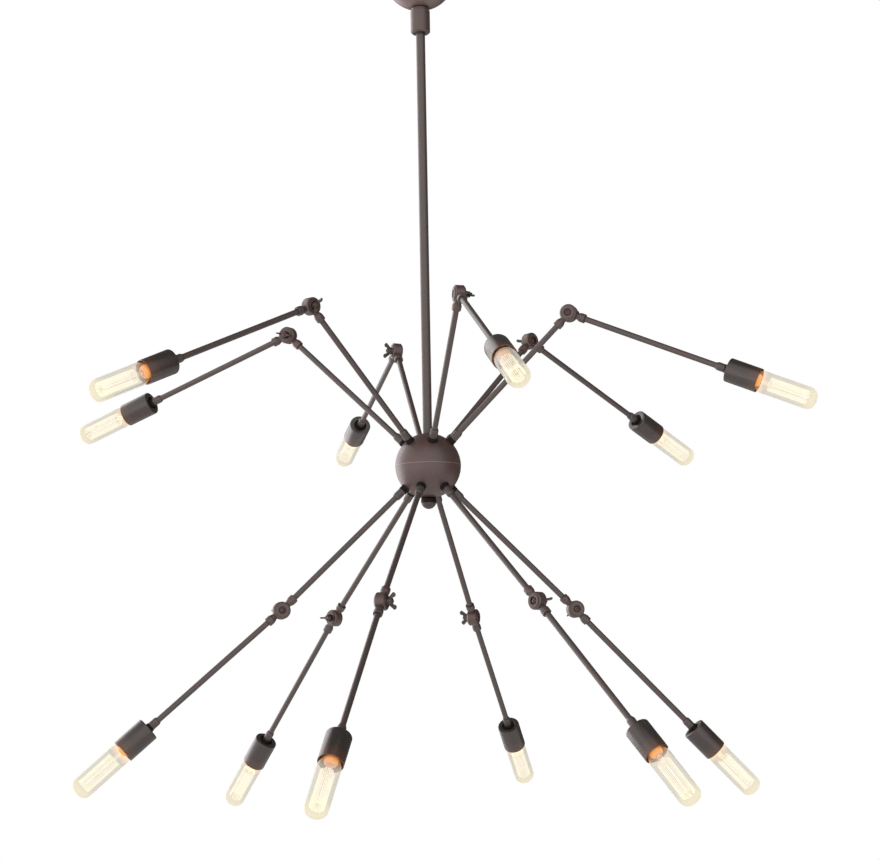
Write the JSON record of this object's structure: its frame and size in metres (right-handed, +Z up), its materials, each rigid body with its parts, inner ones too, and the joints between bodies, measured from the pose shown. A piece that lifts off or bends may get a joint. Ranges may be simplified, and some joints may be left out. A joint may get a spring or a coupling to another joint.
{
  "type": "pendant light",
  "caption": "Ceiling pendant light: ball hub on a straight stem, rings of rising and falling hinged arms locked by wing nuts, and bare tubular filament bulbs in cup sockets.",
  "frame": {"origin": "on the ceiling plane, midway between the bracket's two screw slots, on the stem's axis", "axes": "+Z up into the ceiling, the stem hangs along -Z; +X along the bracket"},
  "size_m": [1.0402, 1.0627, 1.1965],
  "materials": {
    "dark_bronze": "satin",
    "plated_steel": "zinc plated",
    "bulb_glass": "clear, lit"
  },
  "bodies": {
    "hub_frame": {"ceiling_bracket": "plated_steel", "stem_nipples": "plated_steel", "lock_nuts": "plated_steel", "stem_tube": "dark_bronze", "hub_upper_shell": "dark_bronze", "hub_lower_shell": "dark_bronze", "finial": "dark_bronze", "inner_tubes": "dark_bronze", "inner_knuckles": "dark_bronze", "pivot_bolts": "dark_bronze"},
    "canopy_cover": {"canopy": "dark_bronze", "canopy_collar": "dark_bronze"},
    "upper_1": {"upper_arm_1": "dark_bronze", "upper_socket_1": "dark_bronze", "upper_bulb_1": "bulb_glass"},
    "upper_1_nut": {"upper_wing_nut_1": "dark_bronze"},
    "upper_2": {"upper_arm_2": "dark_bronze", "upper_socket_2": "dark_bronze", "upper_bulb_2": "bulb_glass"},
    "upper_2_nut": {"upper_wing_nut_2": "dark_bronze"},
    "upper_3": {"upper_arm_3": "dark_bronze", "upper_socket_3": "dark_bronze", "upper_bulb_3": "bulb_glass"},
    "upper_3_nut": {"upper_wing_nut_3": "dark_bronze"},
    "upper_4": {"upper_arm_4": "dark_bronze", "upper_socket_4": "dark_bronze", "upper_bulb_4": "bulb_glass"},
    "upper_4_nut": {"upper_wing_nut_4": "dark_bronze"},
    "upper_5": {"upper_arm_5": "dark_bronze", "upper_socket_5": "dark_bronze", "upper_bulb_5": "bulb_glass"},
    "upper_5_nut": {"upper_wing_nut_5": "dark_bronze"},
    "upper_6": {"upper_arm_6": "dark_bronze", "upper_socket_6": "dark_bronze", "upper_bulb_6": "bulb_glass"},
    "upper_6_nut": {"upper_wing_nut_6": "dark_bronze"},
    "lower_1": {"lower_arm_1": "dark_bronze", "lower_socket_1": "dark_bronze", "lower_bulb_1": "bulb_glass"},
    "lower_1_nut": {"lower_wing_nut_1": "dark_bronze"},
    "lower_2": {"lower_arm_2": "dark_bronze", "lower_socket_2": "dark_bronze", "lower_bulb_2": "bulb_glass"},
    "lower_2_nut": {"lower_wing_nut_2": "dark_bronze"},
    "lower_3": {"lower_arm_3": "dark_bronze", "lower_socket_3": "dark_bronze", "lower_bulb_3": "bulb_glass"},
    "lower_3_nut": {"lower_wing_nut_3": "dark_bronze"},
    "lower_4": {"lower_arm_4": "dark_bronze", "lower_socket_4": "dark_bronze", "lower_bulb_4": "bulb_glass"},
    "lower_4_nut": {"lower_wing_nut_4": "dark_bronze"},
    "lower_5": {"lower_arm_5": "dark_bronze", "lower_socket_5": "dark_bronze", "lower_bulb_5": "bulb_glass"},
    "lower_5_nut": {"lower_wing_nut_5": "dark_bronze"},
    "lower_6": {"lower_arm_6": "dark_bronze", "lower_socket_6": "dark_bronze", "lower_bulb_6": "bulb_glass"},
    "lower_6_nut": {"lower_wing_nut_6": "dark_bronze"}
  },
  "joints": [
    {"name": "canopy_drop", "type": "slide", "parent": "hub_frame", "child": "canopy_cover", "axis": [0, 0, 1], "range_m": [-0.25, 0]},
    {"name": "upper_1_swing", "type": "hinge", "parent": "hub_frame", "child": "upper_1", "pos_m": [0.19884, -0.06308, -0.52055], "axis": [0.3139, 0.9494, -0.0126], "range_deg": [-117.5, 47.5]},
    {"name": "upper_1_nut_turn", "type": "hinge", "parent": "hub_frame", "child": "upper_1_nut", "pos_m": [0.19884, -0.06308, -0.52055], "axis": [0.3139, 0.9494, -0.0126], "range_deg": [0, 360]},
    {"name": "upper_2_swing", "type": "hinge", "parent": "hub_frame", "child": "upper_2", "pos_m": [0.15405, 0.14067, -0.52055], "axis": [-0.6465, 0.762, -0.0376], "range_deg": [-119, 46]},
    {"name": "upper_2_nut_turn", "type": "hinge", "parent": "hub_frame", "child": "upper_2_nut", "pos_m": [0.15405, 0.14067, -0.52055], "axis": [-0.6465, 0.762, -0.0376], "range_deg": [0, 360]},
    {"name": "upper_3_swing", "type": "hinge", "parent": "hub_frame", "child": "upper_3", "pos_m": [-0.0448, 0.20374, -0.52055], "axis": [-0.9639, -0.2615, 0.0502], "range_deg": [-113.5, 51.5]},
    {"name": "upper_3_nut_turn", "type": "hinge", "parent": "hub_frame", "child": "upper_3_nut", "pos_m": [-0.0448, 0.20374, -0.52055], "axis": [-0.9639, -0.2615, 0.0502], "range_deg": [0, 360]},
    {"name": "upper_4_swing", "type": "hinge", "parent": "hub_frame", "child": "upper_4", "pos_m": [-0.19884, 0.06308, -0.52055], "axis": [-0.3589, -0.9313, -0.0627], "range_deg": [-114, 51]},
    {"name": "upper_4_nut_turn", "type": "hinge", "parent": "hub_frame", "child": "upper_4_nut", "pos_m": [-0.19884, 0.06308, -0.52055], "axis": [-0.3589, -0.9313, -0.0627], "range_deg": [0, 360]},
    {"name": "upper_5_swing", "type": "hinge", "parent": "hub_frame", "child": "upper_5", "pos_m": [-0.15405, -0.14067, -0.52055], "axis": [0.6369, -0.7693, -0.0502], "range_deg": [-118, 47]},
    {"name": "upper_5_nut_turn", "type": "hinge", "parent": "hub_frame", "child": "upper_5_nut", "pos_m": [-0.15405, -0.14067, -0.52055], "axis": [0.6369, -0.7693, -0.0502], "range_deg": [0, 360]},
    {"name": "upper_6_swing", "type": "hinge", "parent": "hub_frame", "child": "upper_6", "pos_m": [0.0448, -0.20374, -0.52055], "axis": [0.9791, 0.2029, -0.0126], "range_deg": [-121.5, 43.5]},
    {"name": "upper_6_nut_turn", "type": "hinge", "parent": "hub_frame", "child": "upper_6_nut", "pos_m": [0.0448, -0.20374, -0.52055], "axis": [0.9791, 0.2029, -0.0126], "range_deg": [0, 360]},
    {"name": "lower_1_swing", "type": "hinge", "parent": "hub_frame", "child": "lower_1", "pos_m": [0.20374, 0.0448, -0.92345], "axis": [-0.2147, 0.9767, 0], "range_deg": [-116, 49]},
    {"name": "lower_1_nut_turn", "type": "hinge", "parent": "hub_frame", "child": "lower_1_nut", "pos_m": [0.20374, 0.0448, -0.92345], "axis": [-0.2147, 0.9767, 0], "range_deg": [0, 360]},
    {"name": "lower_2_swing", "type": "hinge", "parent": "hub_frame", "child": "lower_2", "pos_m": [0.06308, 0.19884, -0.92345], "axis": [-0.9532, 0.3024, 0], "range_deg": [-112.5, 52.5]},
    {"name": "lower_2_nut_turn", "type": "hinge", "parent": "hub_frame", "child": "lower_2_nut", "pos_m": [0.06308, 0.19884, -0.92345], "axis": [-0.9532, 0.3024, 0], "range_deg": [0, 360]},
    {"name": "lower_3_swing", "type": "hinge", "parent": "hub_frame", "child": "lower_3", "pos_m": [-0.14067, 0.15405, -0.92345], "axis": [-0.7385, -0.6743, 0], "range_deg": [-118, 47]},
    {"name": "lower_3_nut_turn", "type": "hinge", "parent": "hub_frame", "child": "lower_3_nut", "pos_m": [-0.14067, 0.15405, -0.92345], "axis": [-0.7385, -0.6743, 0], "range_deg": [0, 360]},
    {"name": "lower_4_swing", "type": "hinge", "parent": "hub_frame", "child": "lower_4", "pos_m": [-0.20374, -0.0448, -0.92345], "axis": [-0.2147, 0.9767, 0], "range_deg": [-53, 112]},
    {"name": "lower_4_nut_turn", "type": "hinge", "parent": "hub_frame", "child": "lower_4_nut", "pos_m": [-0.20374, -0.0448, -0.92345], "axis": [-0.2147, 0.9767, 0], "range_deg": [0, 360]},
    {"name": "lower_5_swing", "type": "hinge", "parent": "hub_frame", "child": "lower_5", "pos_m": [-0.06308, -0.19884, -0.92345], "axis": [0.9532, -0.3024, 0], "range_deg": [-117, 48]},
    {"name": "lower_5_nut_turn", "type": "hinge", "parent": "hub_frame", "child": "lower_5_nut", "pos_m": [-0.06308, -0.19884, -0.92345], "axis": [0.9532, -0.3024, 0], "range_deg": [0, 360]},
    {"name": "lower_6_swing", "type": "hinge", "parent": "hub_frame", "child": "lower_6", "pos_m": [0.14067, -0.15405, -0.92345], "axis": [0.7385, 0.6743, 0], "range_deg": [-116, 49]},
    {"name": "lower_6_nut_turn", "type": "hinge", "parent": "hub_frame", "child": "lower_6_nut", "pos_m": [0.14067, -0.15405, -0.92345], "axis": [0.7385, 0.6743, 0], "range_deg": [0, 360]}
  ]
}
